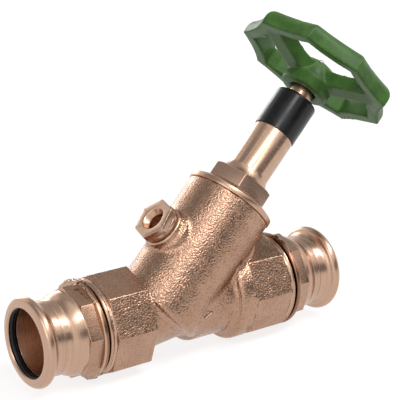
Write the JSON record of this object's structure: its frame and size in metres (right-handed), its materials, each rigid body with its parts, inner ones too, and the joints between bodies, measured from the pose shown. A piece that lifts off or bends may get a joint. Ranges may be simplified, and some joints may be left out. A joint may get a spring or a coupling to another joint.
{
  "type": "free-flow valve",
  "caption": "Slanted-seat shut-off valve with press sockets, a plugged drain boss and a spoked handwheel on a sleeved neck.",
  "frame": {"origin": "on the axis of the pipe run, at the tube stop of the inlet socket", "axes": "+X along the run in the direction of flow; the branch with the handwheel leans 45 degrees from +X towards +Z in the XZ plane; Y across the valve"},
  "size_m": [0.1839, 0.0738, 0.1422],
  "materials": {
    "cast_bronze": "cast, fine sand texture",
    "turned_bronze": "machined, satin",
    "green_wheel": "moulded, semi-gloss",
    "black_sleeve": "moulded, semi-gloss",
    "seal_rubber": "smooth",
    "thread_seal": "smooth fibre",
    "steel": "plain"
  },
  "bodies": {
    "valve": {"valve_body": "cast_bronze", "inlet_adapter": "turned_bronze", "outlet_adapter": "turned_bronze", "inlet_socket_ring": "seal_rubber", "outlet_socket_ring": "seal_rubber", "inlet_thread_seal": "thread_seal", "outlet_thread_seal": "thread_seal", "drain_plug": "turned_bronze", "drain_plug_seal": "thread_seal", "bonnet": "turned_bronze", "bonnet_seal": "seal_rubber", "neck_sleeve": "black_sleeve", "wiper_ring": "seal_rubber", "spindle_bush": "black_sleeve", "thrust_washer": "steel"},
    "turning_parts": {"spindle": "turned_bronze", "spindle_rings": "seal_rubber", "handwheel": "green_wheel", "handwheel_washer": "steel", "handwheel_screw": "steel"},
    "closing_disc": {"disc_carrier": "turned_bronze", "seat_disc": "seal_rubber", "disc_washer": "steel", "disc_screw": "steel"}
  },
  "joints": [
    {"name": "handwheel_turn", "type": "hinge", "parent": "valve", "child": "turning_parts", "pos_m": [0.0407, 0, 0], "axis": [0.7071, 0, 0.7071], "range_deg": [0, 2880]},
    {"name": "disc_lift", "type": "slide", "parent": "valve", "child": "closing_disc", "axis": [0.7071, 0, 0.7071], "range_m": [0, 0.02]}
  ],
  "couplings": [
    {"joint": "disc_lift", "follows": "handwheel_turn", "m_per_rad": 0.00039789}
  ]
}
